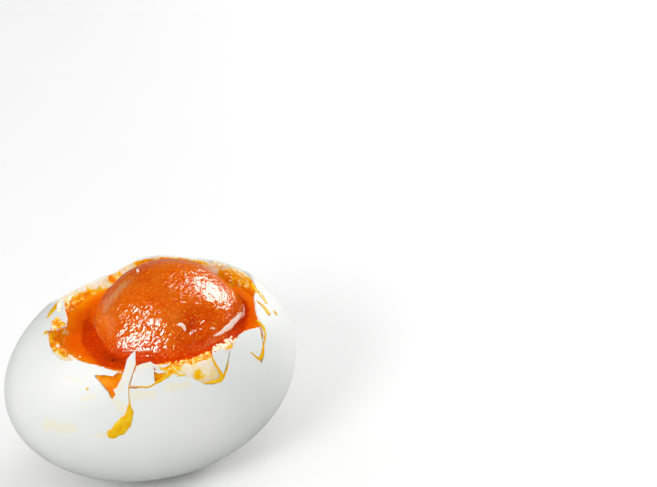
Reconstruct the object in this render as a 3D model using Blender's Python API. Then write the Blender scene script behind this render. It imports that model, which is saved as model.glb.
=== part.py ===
"""Salted duck egg lying on its side, with its top broken open over a runny pool of yolk oil.

The egg is a thin shell round firm white, the white holds the yolk, and oil fills the moat between them.
Everything is modelled about the egg's centre: +X runs to the blunt end, +Z is up, and -Y is the front,
where a notch and loose flakes of shell lie. An empty lifts it all until the flat foot rests on z = 0.
"""

import math

import bmesh
import bpy
from mathutils import Matrix, Vector, noise

MM = 0.001

# The whole egg, in metres
EGG_LENGTH = 58.8 * MM
EGG_WIDTH = 43.5 * MM
GIRTH_OFFSET = 1.15 * MM  # the widest girth lies this far from mid length, towards the blunt end
REST_TILT = math.radians(2.5)  # an egg lies with its blunt end a little higher
FOOT_DEPTH = 0.25 * MM  # how much the small flat foot takes off the round
SHELL_THICKNESS = 0.4 * MM
GAP = 0.3 * MM  # clearance between neighbouring pieces

# Facets
GIRTH_STEPS = 40
LENGTH_STEPS = 24
BREAK_STEPS = 80

# The yolk, as an ellipsoid about its own centre
YOLK_CENTRE = Vector((4.4, 1.2, 6.4)) * MM
YOLK_RADII = Vector((15.2, 14.3, 15.1)) * MM
YOLK_SEGMENTS = 40
YOLK_RINGS = 24
# Hollows pressed into the yolk: direction from its centre, how wide and how deep
YOLK_HOLLOWS = (
    (Vector((0.30, -0.72, 0.62)), 4.2 * MM, 1.1 * MM),
    (Vector((-0.55, -0.45, 0.70)), 5.5 * MM, 0.35 * MM),
    (Vector((0.75, 0.10, 0.65)), 5.0 * MM, 0.45 * MM),
)
YOLK_GRAIN_SIZE = 3.0 * MM
YOLK_GRAIN_DEPTH = 0.12 * MM

# Oil pool and the broken white, measured out from the middle of the opening
OIL_LEVEL = 11.0 * MM
MOAT_FLOOR = 3.0 * MM
MOAT_TUCK = 0.94  # the moat's floor reaches in under the yolk by this share of the yolk's radius there
OIL_BANK = 0.45 * MM  # clearance between the oil and the white round it
OPENING_CENTRE = Vector((2.0, 0.0, 0.0)) * MM
# Edge of the pool: degrees round from +X, millimetres out
POOL_EDGE = (
    (0, 19.6), (10, 19.4), (19, 18.4), (30, 16.8), (42, 15.0), (55, 13.6), (75, 12.4), (90, 12.6),
    (100, 13.8), (110, 15.0), (122, 15.8), (135, 16.6), (148, 17.6), (160, 17.4), (168, 17.8),
    (176, 19.2), (184, 19.8), (192, 19.0), (205, 18.0), (216, 17.6), (224, 16.6), (234, 14.8),
    (244, 14.0), (260, 14.4), (275, 14.6), (294, 14.5), (312, 16.0), (319, 17.2), (328, 19.4),
    (340, 19.8), (350, 19.8),
)
# Crest of the broken white: degrees round from +X, millimetres out, height
WHITE_CREST = (
    (0, 20.2, 14.0), (12, 20.0, 13.9), (24, 19.2, 14.3), (31, 18.6, 14.2), (38, 18.2, 13.9),
    (47, 17.4, 13.9), (57, 15.6, 14.8), (68, 13.0, 16.4), (80, 12.2, 16.6), (88, 12.9, 16.0),
    (95, 17.6, 12.3), (105, 17.6, 12.0), (116, 17.9, 12.0), (125, 18.1, 12.0), (133, 18.4, 12.0),
    (141, 19.0, 12.2), (150, 18.9, 13.6), (159, 18.4, 15.4), (168, 18.4, 15.8), (175, 20.0, 14.9),
    (182, 21.6, 14.5), (190, 21.8, 13.9), (199, 21.4, 13.4), (208, 20.8, 13.2), (216, 19.9, 13.0),
    (222, 19.0, 12.2), (229, 18.3, 11.8), (237, 17.1, 12.6), (249, 16.4, 13.0), (262, 16.6, 12.7),
    (275, 16.8, 12.5), (287, 16.8, 12.3), (300, 17.2, 12.3), (311, 17.9, 13.0), (318, 18.7, 12.9),
    (326, 20.0, 12.5), (334, 20.4, 12.8), (342, 20.4, 13.5), (351, 20.3, 14.1),
)
CREST_FALL = 0.5  # how steeply the broken white falls away outside its crest
CREST_REACH = 12.0 * MM  # far enough out to be clear of the egg all round
CRUMB_SIZE = 1.6 * MM
CRUMB_HEIGHT = 0.45 * MM
CRUMB_CONTRAST = 1.6
BREAK_RADIUS = 17.0 * MM  # mean radius of the broken edge, which sets how many crumbs go round it

# Break in the shell, seen from above: millimetres along the egg and across it. The ray from the egg's
# centre through each point is where the shell snapped.
SHELL_RIM = (
    (21.3, -3.5), (22.2, 0.5), (22.7, 4.0), (22.6, 6.6), (20.6, 8.4), (18.6, 10.2), (17.2, 11.7),
    (14.6, 13.7), (11.2, 14.3), (8.3, 13.5), (5.4, 12.7), (3.9, 13.0), (2.9, 14.3), (2.0, 16.5),
    (0.4, 17.7), (-1.8, 18.1), (-4.0, 17.9), (-6.4, 18.1), (-9.0, 18.1), (-11.4, 17.4),
    (-13.4, 16.2), (-15.2, 13.2), (-16.6, 10.0), (-15.9, 8.0), (-15.0, 6.2), (-15.9, 2.4),
    (-16.2, -0.3), (-16.9, -1.9), (-18.5, -1.3), (-20.1, 0.4), (-20.5, -1.3), (-20.8, -3.1),
    (-20.6, -4.9), (-19.8, -7.3), (-18.6, -8.5), (-17.4, -9.1), (-16.0, -10.7), (-14.4, -11.9),
    (-12.9, -13.3), (-10.9, -14.7), (-11.9, -14.8), (-13.4, -13.9), (-15.1, -13.1), (-14.0, -15.1),
    (-13.2, -16.8), (-12.6, -17.9), (-11.6, -18.8), (-10.4, -19.3), (-10.05, -19.1),
    (-9.85, -18.1), (-9.45, -17.2), (-6.3, -18.3), (-4.9, -18.3), (-2.8, -18.2), (-1.0, -18.1),
    (0.9, -18.6), (2.6, -19.1), (4.4, -19.7), (6.2, -19.7), (8.1, -19.5), (9.4, -18.5),
    (11.0, -16.5), (12.0, -15.5), (13.8, -13.9), (15.7, -13.0), (18.4, -11.9), (18.0, -14.0),
    (17.6, -15.4), (16.2, -16.2), (17.1, -16.6), (18.1, -15.4), (18.7, -13.6), (19.3, -12.7),
    (19.2, -11.3), (19.1, -9.4), (20.1, -5.8),
)
CUTTER_FLOOR = 3.0 * MM
CUTTER_TOP = 32.0 * MM

# Loose flakes of shell that still lie on the white: corners from above, and how far each is raised off the
# egg's surface, in millimetres
SHELL_FLAKES = {
    "flake_front": (
        ((-7.4, -15.3), (-6.5, -15.4), (-4.8, -15.6), (-4.4, -16.0), (-4.9, -18.05), (-6.3, -18.1),
         (-9.3, -16.95)), 0.1),
    "flake_spike": (
        ((-6.9, -13.4), (-7.5, -14.9), (-8.7, -15.9), (-10.05, -17.0), (-10.25, -18.0), (-10.6, -18.8),
         (-11.5, -18.3), (-12.3, -17.4), (-12.8, -16.7), (-12.3, -16.1), (-11.7, -16.2),
         (-10.6, -15.7), (-9.6, -14.9), (-8.7, -13.9)), 0.1),
    "flake_wedge": (
        ((7.2, -16.9), (7.3, -17.5), (7.8, -18.5), (8.2, -18.95), (9.1, -18.0), (10.5, -16.3),
         (9.2, -16.2)), 0.05),
}

# Surface colours, roughness
SHELL_COLOUR = (0.87, 0.88, 0.86, 1.0)
WHITE_COLOUR = (0.90, 0.88, 0.80, 1.0)
YOLK_COLOUR = (0.80, 0.22, 0.02, 1.0)
OIL_COLOUR = (0.90, 0.30, 0.01, 1.0)


def clear_scene():
    for obj in list(bpy.data.objects):
        bpy.data.objects.remove(obj, do_unlink=True)


def finish_material(name, colour, roughness):
    material = bpy.data.materials.new(name)
    material.use_nodes = True
    shader = material.node_tree.nodes["Principled BSDF"]
    shader.inputs["Base Color"].default_value = colour
    shader.inputs["Roughness"].default_value = roughness
    shader.inputs["Metallic"].default_value = 0.0
    return material


def girth_radius(along, inset=0.0):
    """Radius of the egg at a place along its axis, for the surface lying inset inside the shell's outside."""
    half = EGG_LENGTH / 2 - inset
    widest = EGG_WIDTH / 2 - inset
    spread = half**2 + GIRTH_OFFSET**2 - 2 * GIRTH_OFFSET * along
    return widest * math.sqrt(max(half**2 - along**2, 0.0) / spread)


def foot_height():
    """Height of the flat foot below the egg's centre, as a negative number."""
    lowest = min(
        along * math.sin(REST_TILT) - girth_radius(along) * math.cos(REST_TILT)
        for along in (step * 0.1 * MM for step in range(-60, 61))
    )
    return lowest + FOOT_DEPTH


def height_on_egg(x, y):
    """Height of the egg's upper surface over a place seen from above."""
    low, high = 0.0, EGG_WIDTH
    for _ in range(40):
        z = (low + high) / 2
        along = x * math.cos(REST_TILT) + z * math.sin(REST_TILT)
        across = -x * math.sin(REST_TILT) + z * math.cos(REST_TILT)
        if abs(along) < EGG_LENGTH / 2 and math.hypot(y, across) < girth_radius(along):
            low = z
        else:
            high = z
    return low


def new_object(name, bm, material=None):
    bmesh.ops.recalc_face_normals(bm, faces=bm.faces)
    mesh = bpy.data.meshes.new(name)
    bm.to_mesh(mesh)
    bm.free()
    mesh.shade_smooth()
    obj = bpy.data.objects.new(name, mesh)
    bpy.context.scene.collection.objects.link(obj)
    if material:
        mesh.materials.append(material)
    return obj


def egg_mesh(inset):
    """The egg turned from its profile, tilted as it rests, with the flat foot cut on."""
    bm = bmesh.new()
    half = EGG_LENGTH / 2 - inset
    profile = []
    for step in range(LENGTH_STEPS + 1):
        along = half * math.cos(math.pi * step / LENGTH_STEPS)
        profile.append(bm.verts.new((along, 0, girth_radius(along, inset))))
    edges = [bm.edges.new(pair) for pair in zip(profile, profile[1:])]
    bmesh.ops.spin(
        bm, geom=profile + edges, cent=(0, 0, 0), axis=(1, 0, 0),
        angle=2 * math.pi, steps=GIRTH_STEPS, use_merge=True,
    )
    bmesh.ops.remove_doubles(bm, verts=bm.verts, dist=0.01 * MM)
    bmesh.ops.rotate(
        bm, verts=bm.verts, cent=(0, 0, 0), matrix=Matrix.Rotation(-REST_TILT, 3, "Y")
    )
    cut = bmesh.ops.bisect_plane(
        bm, geom=bm.verts[:] + bm.edges[:] + bm.faces[:],
        plane_co=(0, 0, foot_height() + inset), plane_no=(0, 0, -1), clear_outer=True,
    )
    rim = [e for e in cut["geom_cut"] if isinstance(e, bmesh.types.BMEdge)]
    bmesh.ops.contextual_create(bm, geom=rim)
    return bm


def outline_cutter(name, corners):
    """A cone from the egg's centre through an outline on the egg's surface, cut off flat at both ends."""
    bm = bmesh.new()
    rings = []
    for level in (CUTTER_FLOOR, CUTTER_TOP):
        ring = []
        for x, y in corners:
            reach = level / height_on_egg(x * MM, y * MM)
            ring.append(bm.verts.new((x * MM * reach, y * MM * reach, level)))
        rings.append(ring)
        bm.faces.new(ring)
    lower, upper = rings
    for i in range(len(corners)):
        j = (i + 1) % len(corners)
        bm.faces.new((lower[i], lower[j], upper[j], upper[i]))
    return as_helper(new_object(name, bm))


def as_helper(obj):
    obj.hide_render = True
    obj.display_type = "WIRE"
    return obj


def add_boolean(obj, operation, other):
    modifier = obj.modifiers.new(operation.title() + " " + other.name, "BOOLEAN")
    modifier.operation = operation
    modifier.solver = "EXACT"
    modifier.object = other
    return modifier


def add_shell_wall(obj):
    wall = obj.modifiers.new("Shell wall", "SOLIDIFY")
    wall.thickness = SHELL_THICKNESS
    wall.offset = -1.0
    wall.use_even_offset = True


def station(table, degrees):
    """The values of a table of stations round the opening, smoothly between two of them."""
    turn = degrees % 360
    after = next((i for i, row in enumerate(table) if row[0] > turn), 0)
    first, second = table[after - 1], table[after]
    span = (second[0] - first[0]) % 360
    share = ((turn - first[0]) % 360) / span
    share = share * share * (3 - 2 * share)
    return [a + (b - a) * share for a, b in zip(first[1:], second[1:])]


def ring_at(bm, radius_height):
    """One loop round the opening: radius_height gives metres out and metres up for an angle in degrees."""
    ring = []
    for step in range(BREAK_STEPS):
        degrees = 360 * step / BREAK_STEPS
        out, up = radius_height(degrees)
        turn = Matrix.Rotation(math.radians(degrees), 3, "Z")
        ring.append(bm.verts.new(OPENING_CENTRE + turn @ Vector((out, 0, 0)) + Vector((0, 0, up))))
    return ring


def lofted(name, rings_of):
    """A solid from loops stacked one above another, with flat caps."""
    bm = bmesh.new()
    rings = [ring_at(bm, rule) for rule in rings_of]
    for lower, upper in zip(rings, rings[1:]):
        for i in range(BREAK_STEPS):
            j = (i + 1) % BREAK_STEPS
            bm.faces.new((lower[i], lower[j], upper[j], upper[i]))
    bm.faces.new(rings[0])
    bm.faces.new(rings[-1])
    return new_object(name, bm)


def yolk_waterline(degrees, level, share):
    """Distance from the opening's centre to the yolk's outline at a level, times share."""
    squash = math.sqrt(1 - ((level - YOLK_CENTRE.z) / YOLK_RADII.z) ** 2)
    turn = math.radians(degrees)
    heading = Vector((math.cos(turn), math.sin(turn)))
    start = (OPENING_CENTRE - YOLK_CENTRE).xy
    radii = Vector((YOLK_RADII.x * squash, YOLK_RADII.y * squash))
    p = Vector((start.x / radii.x, start.y / radii.y))
    d = Vector((heading.x / radii.x, heading.y / radii.y))
    root = math.sqrt(p.dot(d) ** 2 - d.length_squared * (p.length_squared - 1))
    return share * (root - p.dot(d)) / d.length_squared


def moat_floor(degrees):
    return yolk_waterline(degrees, MOAT_FLOOR, MOAT_TUCK), MOAT_FLOOR


def pool_edge(degrees):
    (out,) = station(POOL_EDGE, degrees)
    return out * MM, OIL_LEVEL


def oil_floor(degrees):
    out, up = moat_floor(degrees)
    return out - OIL_BANK, up + GAP


def oil_edge(degrees):
    out, up = pool_edge(degrees)
    return out - OIL_BANK, up


def crumb(degrees, salt):
    """A seeded lump between -1 and 1 for a place on the broken white."""
    turn = math.radians(degrees)
    around = Vector((math.cos(turn), math.sin(turn), 0)) * (BREAK_RADIUS / CRUMB_SIZE)
    return max(-1.0, min(1.0, CRUMB_CONTRAST * noise.noise(around + Vector((0, 0, salt)))))


def slope_under_crest(degrees):
    """Half way up from the pool to the crest, with crumbs standing out of it."""
    edge, _ = pool_edge(degrees)
    out, up = station(WHITE_CREST, degrees)
    lump = crumb(degrees, 3.0)
    return (edge + out * MM) / 2 + lump * CRUMB_HEIGHT, (OIL_LEVEL + up * MM) / 2 + lump * CRUMB_HEIGHT / 2


def white_crest(degrees):
    out, up = station(WHITE_CREST, degrees)
    lump = crumb(degrees, 7.0)
    return out * MM + lump * CRUMB_HEIGHT / 2, up * MM + lump * CRUMB_HEIGHT


def outside_crest(degrees):
    """Beyond the egg, so that the cutter leaves nothing standing outside the crest."""
    out, up = white_crest(degrees)
    return out + CREST_REACH, up - CREST_REACH * CREST_FALL


def above_egg(degrees):
    out, _ = outside_crest(degrees)
    return out, CUTTER_TOP


def yolk_surface(name, swell=0.0, relief=True):
    bm = bmesh.new()
    bmesh.ops.create_uvsphere(bm, u_segments=YOLK_SEGMENTS, v_segments=YOLK_RINGS, radius=1.0)
    for vert in bm.verts:
        heading = vert.co.normalized()
        depth = 0.0
        if relief:
            depth = YOLK_GRAIN_DEPTH * (0.5 + 0.5 * noise.noise(heading * YOLK_RADII.z / YOLK_GRAIN_SIZE))
            for direction, wide, deep in YOLK_HOLLOWS:
                away = (heading - direction.normalized()).length * YOLK_RADII.z
                depth += deep * math.exp(-((away / (wide / 2)) ** 2))
        radii = YOLK_RADII + Vector((swell - depth,) * 3)
        vert.co = YOLK_CENTRE + Vector((heading.x * radii.x, heading.y * radii.y, heading.z * radii.z))
    return new_object(name, bm)


def make_shell(material):
    shell = new_object("shell", egg_mesh(0.0), material)
    add_shell_wall(shell)
    add_boolean(shell, "DIFFERENCE", outline_cutter("shell_break", SHELL_RIM))
    return shell


def make_flake(name, corners, raised, material):
    """A piece of the same shell inside the break, lifted a little away from the egg's centre."""
    flake = new_object(name, egg_mesh(0.0), material)
    add_shell_wall(flake)
    cutter = outline_cutter(name + "_outline", corners)
    add_boolean(flake, "INTERSECT", cutter)
    x = sum(c[0] for c in corners) / len(corners) * MM
    y = sum(c[1] for c in corners) / len(corners) * MM
    middle = Vector((x, y, height_on_egg(x, y)))
    flake.location = cutter.location = middle.normalized() * raised * MM
    return flake


def make_white(material):
    white = new_object("egg_white", egg_mesh(SHELL_THICKNESS + GAP), material)
    opening = lofted(
        "white_break",
        (moat_floor, pool_edge, slope_under_crest, white_crest, outside_crest, above_egg),
    )
    add_boolean(white, "DIFFERENCE", as_helper(opening))
    add_boolean(white, "DIFFERENCE", as_helper(yolk_surface("yolk_seat", swell=GAP, relief=False)))
    return white


def make_oil(material):
    """Oil standing in the moat, level on top, cut out round the yolk."""
    oil = lofted("oil", (oil_floor, oil_edge))
    oil.data.materials.append(material)
    add_boolean(oil, "DIFFERENCE", as_helper(yolk_surface("oil_inner_edge", swell=GAP, relief=False)))
    return oil


def main():
    clear_scene()
    shell_finish = finish_material("eggshell", SHELL_COLOUR, 0.55)
    white_finish = finish_material("cooked_white", WHITE_COLOUR, 0.5)
    yolk_finish = finish_material("cured_yolk", YOLK_COLOUR, 0.25)
    oil_finish = finish_material("yolk_oil", OIL_COLOUR, 0.08)

    make_shell(shell_finish)
    make_white(white_finish)
    make_oil(oil_finish)
    yolk = yolk_surface("yolk")
    yolk.data.materials.append(yolk_finish)
    for name, (corners, raised) in SHELL_FLAKES.items():
        make_flake(name, corners, raised, shell_finish)

    place = bpy.data.objects.new("egg_place", None)
    bpy.context.scene.collection.objects.link(place)
    for obj in list(bpy.context.scene.collection.objects):
        if obj is not place:
            obj.parent = place
    place.location.z = -foot_height()


main()
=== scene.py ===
import math

import bpy
import numpy as np
from mathutils import Matrix, Vector, noise
from mathutils.bvhtree import BVHTree


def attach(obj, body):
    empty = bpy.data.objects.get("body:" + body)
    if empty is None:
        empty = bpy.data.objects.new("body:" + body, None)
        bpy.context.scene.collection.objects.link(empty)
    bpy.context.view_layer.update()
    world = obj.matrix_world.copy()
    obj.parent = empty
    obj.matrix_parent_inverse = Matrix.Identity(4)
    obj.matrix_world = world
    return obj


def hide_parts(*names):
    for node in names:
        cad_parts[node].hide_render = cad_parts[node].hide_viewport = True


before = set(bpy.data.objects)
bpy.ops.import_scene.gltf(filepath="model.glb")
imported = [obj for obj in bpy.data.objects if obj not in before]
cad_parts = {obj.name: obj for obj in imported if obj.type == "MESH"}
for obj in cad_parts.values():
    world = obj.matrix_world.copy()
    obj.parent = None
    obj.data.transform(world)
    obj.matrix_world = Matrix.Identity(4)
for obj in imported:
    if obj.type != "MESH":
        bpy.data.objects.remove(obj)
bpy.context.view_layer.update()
mm = 0.001

# The egg's own form, in millimetres about its centre: +X to the blunt end, -Y to the front
eggForm = {
    "halfLength": 29.4,
    "halfWidth": 21.75,
    "girthOffset": 1.15,
    "restTilt": math.radians(2.5),
    "footDepth": 0.25,
    "shellThickness": 0.4,
    "openingX": 2.0,  # the middle of the opening, along the egg
    # the search for a point on the surface: its steps, and its limits upwards, sideways and from the centre
    "halvings": 34,
    "highest": 23.0,
    "furthest": 34.0,
    "fromCentre": (15.0, 33.0),
}


def girthRadius(along, inset=0.0):
    half = eggForm["halfLength"] - inset
    wide = eggForm["halfWidth"] - inset
    offset = eggForm["girthOffset"]
    spread = half**2 + offset**2 - 2 * offset * along
    return wide * np.sqrt(np.clip(half**2 - along**2, 0, None) / spread)


def restHeight():
    along = np.linspace(-6, 6, 241)
    lowest = along * math.sin(eggForm["restTilt"]) - girthRadius(along) * math.cos(eggForm["restTilt"])
    return -(lowest.min() + eggForm["footDepth"])


eggLift = restHeight()


def insideEgg(x, y, z, inset):
    tilt = eggForm["restTilt"]
    half = eggForm["halfLength"] - inset
    along = x * math.cos(tilt) + z * math.sin(tilt)
    up = z * math.cos(tilt) - x * math.sin(tilt)
    return (np.abs(along) < half) & (np.hypot(y, up) < girthRadius(np.clip(along, -half, half), inset))


def halving(low, high, isInside):
    # the edge of what is inside, between two arrays of limits
    low, high = np.array(low, float), np.array(high, float)
    for _ in range(eggForm["halvings"]):
        middle = (low + high) / 2
        inside = isInside(middle)
        low = np.where(inside, middle, low)
        high = np.where(inside, high, middle)
    return low


def heightOnEgg(x, y, inset=0.0):
    x, y = np.asarray(x, float), np.asarray(y, float)
    return halving(np.zeros_like(x), np.full_like(x, eggForm["highest"]), lambda z: insideEgg(x, y, z, inset))


def reachInEgg(turn, z, inset=0.0):
    # how far the egg's surface is from the opening's middle, at a height and a heading
    turn = np.asarray(turn, float)
    z = np.broadcast_to(z, turn.shape)
    centre = eggForm["openingX"]
    cos, sin = np.cos(turn), np.sin(turn)
    furthest = np.full_like(turn, eggForm["furthest"])
    return halving(np.zeros_like(turn), furthest, lambda r: insideEgg(centre + r * cos, r * sin, z, inset))


def onShell(points, raised=0.0):
    # points near the egg laid on its shell along the line to the egg's centre, and raised; all in millimetres
    points = np.asarray(points, float)
    heading = points / np.linalg.norm(points, axis=1, keepdims=True)
    near, far = [np.full(len(points), limit) for limit in eggForm["fromCentre"]]
    reach = halving(near, far, lambda r: insideEgg(*(heading * r[:, None]).T, 0.0))
    return heading * (reach + raised)[:, None]


def pick(obj):
    if bpy.context.mode != "OBJECT":
        bpy.ops.object.mode_set(mode="OBJECT")
    bpy.ops.object.select_all(action="DESELECT")
    obj.hide_set(False)
    obj.select_set(True)
    bpy.context.view_layer.objects.active = obj


def selectVerts(obj, chosen):
    for part in (obj.data.polygons, obj.data.edges, obj.data.vertices):
        part.foreach_set("select", np.zeros(len(part), bool))
    obj.data.vertices.foreach_set("select", np.asarray(chosen, bool))


def verts(obj):
    co = np.empty(len(obj.data.vertices) * 3)
    obj.data.vertices.foreach_get("co", co)
    return co.reshape(-1, 3)


def setVerts(obj, points):
    # points are in millimetres about the egg's centre
    co = (np.asarray(points) + (0, 0, eggLift)) * mm
    obj.data.vertices.foreach_set("co", co.ravel())
    obj.data.update()


def named(name):
    obj = bpy.context.active_object
    obj.name = name
    obj.data.name = name
    return obj


def applied(obj, kind, **settings):
    pick(obj)
    modifier = obj.modifiers.new(kind.title(), kind)
    for key, value in settings.items():
        setattr(modifier, key, value)
    bpy.ops.object.modifier_apply(modifier=modifier.name)


def smoothByAngle(obj, degrees):
    pick(obj)
    bpy.ops.object.shade_smooth_by_angle(angle=math.radians(degrees))


def finishPiece(obj, material, node):
    obj.data.materials.clear()
    obj.data.materials.append(material)
    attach(obj, "root")
    if node:
        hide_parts(node)


def finishSmooth(obj, material, node):
    pick(obj)
    bpy.ops.object.shade_smooth()
    finishPiece(obj, material, node)


def joined(pieces, name):
    pick(pieces[0])
    for piece in pieces:
        piece.select_set(True)
    bpy.ops.object.join()
    return named(name)


def surfaceTree(obj):
    return BVHTree.FromPolygons([v.co for v in obj.data.vertices], [p.vertices for p in obj.data.polygons])


def inEditMode(*steps):
    # each step is called in edit mode with everything selected
    bpy.ops.object.mode_set(mode="EDIT")
    for step in steps:
        bpy.ops.mesh.select_all(action="SELECT")
        step()
    bpy.ops.object.mode_set(mode="OBJECT")


def facesOut():
    bpy.ops.mesh.normals_make_consistent(inside=False)


def grain(points, size, detail=3, roughness=1.0, shift=0.0):
    # smooth noise of about -1 to 1 for each point, with lumps of a size in millimetres
    scaled = points / size + shift
    return np.array([noise.fractal(p, roughness, 2.0, detail) for p in scaled])


def setAttribute(obj, name, values):
    layer = obj.data.attributes.new(name, "FLOAT", "POINT")
    layer.data.foreach_set("value", np.asarray(values, np.float32))


class Wire:
    # one output of a material's nodes; Python's operators on it add Math nodes
    def __init__(self, paint, socket):
        self.paint = paint
        self.socket = socket

    def maths(self, operation, first, second, clamp=False):
        settings = {"operation": operation, "use_clamp": clamp}
        return self.paint.node("ShaderNodeMath", settings, {0: first, 1: second})

    def __add__(self, other):
        return self.maths("ADD", self, other)

    def __sub__(self, other):
        return self.maths("SUBTRACT", self, other)

    def __rsub__(self, other):
        return self.maths("SUBTRACT", other, self)

    def __mul__(self, other):
        return self.maths("MULTIPLY", self, other)

    def __truediv__(self, other):
        return self.maths("DIVIDE", self, other)

    def __rtruediv__(self, other):
        return self.maths("DIVIDE", other, self)

    __radd__ = __add__
    __rmul__ = __mul__

    def clamped(self):
        return self.maths("ADD", self, 0.0, clamp=True)

    def biggest(self, other):
        return self.maths("MAXIMUM", self, other)

    def ramped(self, low, high, outLow=0.0, outHigh=1.0):
        settings = {"interpolation_type": "SMOOTHSTEP", "clamp": True}
        return self.paint.node("ShaderNodeMapRange", settings, {0: self, 1: low, 2: high, 3: outLow, 4: outHigh})


class Paint:
    # one material: its shader, its output and a short way to add nodes
    def __init__(self, name, **shaderValues):
        self.material = bpy.data.materials.new(name)
        self.material.use_nodes = True
        self.nodes = self.material.node_tree.nodes
        self.links = self.material.node_tree.links
        self.nodes.clear()
        self.shader = self.nodes.new("ShaderNodeBsdfPrincipled")
        output = self.nodes.new("ShaderNodeOutputMaterial")
        self.links.new(self.shader.outputs[0], output.inputs["Surface"])
        for key, value in shaderValues.items():
            self.shader.inputs[key.replace("_", " ")].default_value = value
        self.place = self.node("ShaderNodeTexCoord", out="Object")

    def node(self, kind, settings=None, values=None, out=0):
        made = self.nodes.new(kind)
        for key, value in (settings or {}).items():
            if key == "stops":
                self.setStops(made.color_ramp, value)
            else:
                setattr(made, key, value)
        for key, value in (values or {}).items():
            self.feed(made.inputs[key], value)
        return Wire(self, made.outputs[out])

    def feed(self, socket, value):
        if isinstance(value, Wire):
            self.links.new(value.socket, socket)
        else:
            socket.default_value = value

    def setStops(self, ramp, stops):
        while len(ramp.elements) > 1:
            ramp.elements.remove(ramp.elements[-1])
        for i, (position, colour) in enumerate(stops):
            element = ramp.elements[0] if i == 0 else ramp.elements.new(position)
            element.position = position
            element.color = colour

    def blend(self, first, second, share):
        values = {0: share, 6: first, 7: second}
        return self.node("ShaderNodeMix", {"data_type": "RGBA"}, values, out=2)

    def colourRamp(self, share, stops):
        return self.node("ShaderNodeValToRGB", {"stops": stops}, {0: share})

    def clouds(self, size, detail=3.0, roughness=0.5, distortion=0.0, place=None):
        # noise with lumps of about a size in millimetres
        values = {
            "Vector": place or self.place,
            "Scale": 1 / (size * mm),
            "Detail": detail,
            "Roughness": roughness,
            "Distortion": distortion,
        }
        return self.node("ShaderNodeTexNoise", None, values, out="Fac")

    def cells(self, size):
        values = {"Vector": self.place, "Scale": 1 / (size * mm)}
        return self.node("ShaderNodeTexVoronoi", None, values, out="Distance")

    def attribute(self, name):
        return self.node("ShaderNodeAttribute", {"attribute_name": name}, out="Fac")

    def vectorMaths(self, operation, first, second=None, out=0, scale=None):
        values = {0: first}
        if second is not None:
            values[1] = second
        if scale is not None:
            values[3] = scale
        return self.node("ShaderNodeVectorMath", {"operation": operation}, values, out)

    def stroke(self, start, end, startWidth, endWidth, edge, waver):
        # 1 in the middle of a streak between two points, falling to 0 at its sides; widths are in millimetres
        along = end - start
        fromStart = self.vectorMaths("SUBTRACT", self.place, tuple(start))
        share = self.vectorMaths("DOT_PRODUCT", fromStart, tuple(along / along.length_squared), out=1).clamped()
        nearest = self.vectorMaths("SCALE", tuple(along), scale=share)
        away = self.vectorMaths("DISTANCE", fromStart, nearest, out=1)
        width = (share * (endWidth - startWidth) + startWidth) * (mm / 2)
        return (away / width + waver).ramped(1 - edge, 1 + edge, 1.0, 0.0)

    def bump(self, height, strength, distance):
        values = {"Height": height, "Strength": strength, "Distance": distance * mm}
        return self.node("ShaderNodeBump", None, values)

    def finish(self, **channels):
        for key, value in channels.items():
            self.feed(self.shader.inputs[key.replace("_", " ")], value)
        return self.material


def srgb(red, green, blue):
    # a colour as read off a screen, 0 to 255, as the shader wants it
    parts = [c / 255 for c in (red, green, blue)]
    return (*[c / 12.92 if c <= 0.04045 else ((c + 0.055) / 1.055) ** 2.4 for c in parts], 1.0)


studio = {
    "lens": 100.0,
    "cameraAway": 363.8,  # millimetres from the egg's centre
    "cameraAround": math.radians(-16.335),
    "cameraAbove": math.radians(38.0),
    "aimYaw": math.radians(-23.34),  # the egg lies low and left in the picture
    "aimPitch": math.radians(-34.29),
    "skyStrength": 0.34,
    "floorSize": 6.0,
    "mirroredColour": (1.0, 0.89, 0.85),
    # name: heading from the front, height over the egg, distance, width, height, power, mirrored, lighting
    "softboxes": {
        "softboxTop": (10, 72, 0.9, 0.9, 0.9, 2.2, False, True),
        "softboxBack": (-116, 46, 1.0, 1.0, 0.9, 2.1, False, True),
        "softboxSide": (65, 40, 1.0, 0.9, 0.9, 1.2, False, True),
        "softboxLeft": (-55, 38, 0.55, 0.19, 0.19, 1.2, False, True),
        "softboxRight": (112, 15, 0.55, 0.19, 0.19, 2.0, False, True),
        "mirroredLeft": (-59, 32, 0.55, 0.27, 0.27, 3.3, True, False),
        "mirroredRight": (109, 24, 0.55, 0.27, 0.35, 2.8, True, False),
        "mirroredLow": (164, -24, 0.6, 1.2, 0.5, 0.5, True, False),
        "mirroredHigh": (95, 55, 0.55, 0.12, 0.18, 0.4, True, False),
    },
}


def towards(heading, height):
    # the direction to something at a heading from the front and a height, both in radians
    return Vector((math.sin(heading) * math.cos(height), -math.cos(heading) * math.cos(height), math.sin(height)))


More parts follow.
